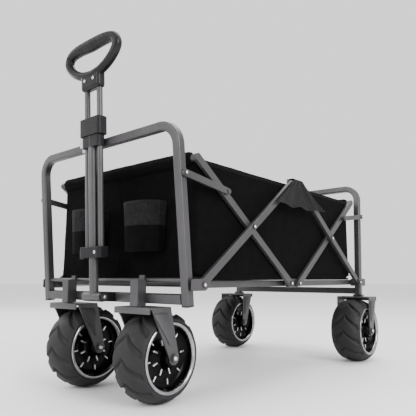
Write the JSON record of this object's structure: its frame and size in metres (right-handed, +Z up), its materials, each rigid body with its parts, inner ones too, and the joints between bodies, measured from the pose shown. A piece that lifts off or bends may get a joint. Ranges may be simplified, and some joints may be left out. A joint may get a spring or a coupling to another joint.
{
  "type": "folding beach cart",
  "caption": "Collapsible steel-framed cart with a fabric tub, wide chevron-lug wheels, swivel front casters and a telescoping loop handle.",
  "frame": {"origin": "on the ground under the middle of the cart", "axes": "+Z up, -Y towards the handle at the front, +X to the right of someone looking from the handle to the back"},
  "size_m": [0.6194, 1.0042, 0.8404],
  "materials": {
    "grey_powder_coat": "gunmetal grey powder coat, satin",
    "black_plastic": "moulded black nylon",
    "grip_plastic": "dark grey moulded grip with a fine stippled palm",
    "zinc_steel": "bright zinc-plated rivets, pins and axles",
    "black_canvas": "black woven oxford polyester",
    "grey_canvas": "charcoal heavy woven polyester",
    "pocket_mesh": "black polyester mesh and cloth with an elastic band",
    "board_cloth": "black woven cover over stiff board",
    "tyre_rubber": "dark grey rubber with chevron lugs",
    "gloss_black": "gloss black dished rim with a bright outer ring"
  },
  "bodies": {
    "front_frame": {"front_hoop": "grey_powder_coat", "front_crossbar": "grey_powder_coat", "front_cross_rod": "grey_powder_coat", "front_post_caps": "black_plastic", "front_corner_brackets": "grey_powder_coat", "front_hinge_pins": "zinc_steel", "front_link_pins": "zinc_steel", "caster_housings": "grey_powder_coat", "handle_bracket": "black_plastic", "handle_pin": "zinc_steel", "rail_clip": "black_plastic"},
    "draw_tube": {"draw_tube": "grey_powder_coat", "draw_collar": "black_plastic"},
    "handle": {"handle_rods": "grey_powder_coat", "slider_block": "black_plastic", "grip": "grip_plastic", "handle_rivets": "zinc_steel"},
    "rear_frame": {"rear_hoop": "grey_powder_coat", "rear_crossbar": "grey_powder_coat", "rear_post_caps": "black_plastic", "rear_corner_brackets": "grey_powder_coat", "rear_hinge_pins": "zinc_steel", "rear_link_pins": "zinc_steel", "rear_forks": "grey_powder_coat", "rear_axles": "zinc_steel"},
    "front_lift_bars": {"front_lift_bars": "grey_powder_coat", "front_crossing_rivets": "zinc_steel"},
    "rear_lift_bars": {"rear_lift_bars": "grey_powder_coat", "rear_crossing_rivets": "zinc_steel"},
    "front_hanger": {"front_hanger": "grey_powder_coat"},
    "rear_hanger": {"rear_hanger": "grey_powder_coat"},
    "top_joint": {"top_plates": "grey_powder_coat", "tub_front": "black_canvas", "tub_rear": "black_canvas", "tub_sides": "black_canvas", "cup_pockets": "pocket_mesh", "joint_caps": "grey_canvas"},
    "bottom_joint": {"bottom_plates": "grey_powder_coat"},
    "front_links": {"front_links": "grey_powder_coat"},
    "rear_links": {"rear_links": "grey_powder_coat"},
    "front_floor": {"front_floor_frame": "grey_powder_coat", "front_floor_board": "board_cloth"},
    "rear_floor": {"rear_floor_frame": "grey_powder_coat", "rear_floor_board": "board_cloth", "floor_hinge_pins": "zinc_steel"},
    "front_left_caster": {"front_left_fork": "grey_powder_coat", "front_left_axle": "zinc_steel"},
    "front_left_wheel": {"front_left_tyre": "tyre_rubber", "front_left_rim": "gloss_black"},
    "rear_left_wheel": {"rear_left_tyre": "tyre_rubber", "rear_left_rim": "gloss_black"},
    "front_right_caster": {"front_right_fork": "grey_powder_coat", "front_right_axle": "zinc_steel"},
    "front_right_wheel": {"front_right_tyre": "tyre_rubber", "front_right_rim": "gloss_black"},
    "rear_right_wheel": {"rear_right_tyre": "tyre_rubber", "rear_right_rim": "gloss_black"}
  },
  "joints": [
    {"name": "fold", "type": "hinge", "parent": "front_frame", "child": "front_lift_bars", "pos_m": [0, -0.38587, 0.252], "axis": [1, 0, 0], "range_deg": [0, 44.46], "deforming": ["tub_front", "tub_rear", "tub_sides", "cup_pockets", "joint_caps"]},
    {"name": "top_joint_turn", "type": "hinge", "parent": "front_lift_bars", "child": "top_joint", "pos_m": [0, -0.00787, 0.522], "axis": [1, 0, 0], "range_deg": [-44.47, 0]},
    {"name": "rear_lift_turn", "type": "hinge", "parent": "top_joint", "child": "rear_lift_bars", "pos_m": [0, 0.03613, 0.522], "axis": [1, 0, 0], "range_deg": [-44.47, 0]},
    {"name": "rear_frame_turn", "type": "hinge", "parent": "rear_lift_bars", "child": "rear_frame", "pos_m": [0, 0.41413, 0.252], "axis": [1, 0, 0], "range_deg": [0, 44.47]},
    {"name": "front_hanger_turn", "type": "hinge", "parent": "front_lift_bars", "child": "front_hanger", "pos_m": [0, -0.19687, 0.387], "axis": [1, 0, 0], "range_deg": [-88.93, 0]},
    {"name": "rear_hanger_turn", "type": "hinge", "parent": "rear_lift_bars", "child": "rear_hanger", "pos_m": [0, 0.22513, 0.387], "axis": [1, 0, 0], "range_deg": [0, 88.93]},
    {"name": "bottom_joint_turn", "type": "hinge", "parent": "front_hanger", "child": "bottom_joint", "pos_m": [0, -0.00787, 0.252], "axis": [1, 0, 0], "range_deg": [0, 44.47]},
    {"name": "front_link_turn", "type": "hinge", "parent": "front_frame", "child": "front_links", "pos_m": [0, -0.43848, 0.47699], "axis": [1, 0, 0], "range_deg": [0, 67.58]},
    {"name": "rear_link_turn", "type": "hinge", "parent": "rear_frame", "child": "rear_links", "pos_m": [0, 0.46609, 0.47731], "axis": [1, 0, 0], "range_deg": [-67.9, 0]},
    {"name": "front_floor_turn", "type": "hinge", "parent": "front_frame", "child": "front_floor", "pos_m": [0, -0.38587, 0.252], "axis": [1, 0, 0], "range_deg": [0, 75.14]},
    {"name": "rear_floor_turn", "type": "hinge", "parent": "front_floor", "child": "rear_floor", "pos_m": [0, 0.01413, 0.252], "axis": [1, 0, 0], "range_deg": [-150.27, 0]},
    {"name": "handle_tilt", "type": "hinge", "parent": "front_frame", "child": "draw_tube", "pos_m": [0, -0.45587, 0.224], "axis": [1, 0, 0], "range_deg": [0, 92]},
    {"name": "handle_extend", "type": "slide", "parent": "draw_tube", "child": "handle", "axis": [0, -0.0532, 0.9986], "range_m": [-0.055, 0.22]},
    {"name": "front_left_swivel", "type": "hinge", "parent": "front_frame", "child": "front_left_caster", "pos_m": [-0.127, -0.43687, 0.15], "axis": [0, 0, 1], "continuous": true},
    {"name": "front_left_spin", "type": "hinge", "parent": "front_left_caster", "child": "front_left_wheel", "pos_m": [-0.127, -0.37987, 0.098], "axis": [1, 0, 0], "continuous": true},
    {"name": "rear_left_spin", "type": "hinge", "parent": "rear_frame", "child": "rear_left_wheel", "pos_m": [-0.25, 0.40413, 0.098], "axis": [1, 0, 0], "continuous": true},
    {"name": "front_right_swivel", "type": "hinge", "parent": "front_frame", "child": "front_right_caster", "pos_m": [0.127, -0.43687, 0.15], "axis": [0, 0, 1], "continuous": true},
    {"name": "front_right_spin", "type": "hinge", "parent": "front_right_caster", "child": "front_right_wheel", "pos_m": [0.127, -0.37987, 0.098], "axis": [1, 0, 0], "continuous": true},
    {"name": "rear_right_spin", "type": "hinge", "parent": "rear_frame", "child": "rear_right_wheel", "pos_m": [0.25, 0.40413, 0.098], "axis": [1, 0, 0], "continuous": true}
  ],
  "couplings": [
    {"joint": "top_joint_turn", "follows": "fold", "ratio": -1},
    {"joint": "rear_lift_turn", "follows": "fold", "ratio": -1},
    {"joint": "rear_frame_turn", "follows": "fold", "ratio": 1},
    {"joint": "front_hanger_turn", "follows": "fold", "ratio": -2},
    {"joint": "rear_hanger_turn", "follows": "fold", "ratio": 2},
    {"joint": "bottom_joint_turn", "follows": "fold", "ratio": 1},
    {"joint": "front_link_turn", "follows": "fold", "ratio": 1.5198},
    {"joint": "rear_link_turn", "follows": "fold", "ratio": -1.5271},
    {"joint": "front_floor_turn", "follows": "fold", "ratio": 1.6897},
    {"joint": "rear_floor_turn", "follows": "fold", "ratio": -3.3794}
  ]
}
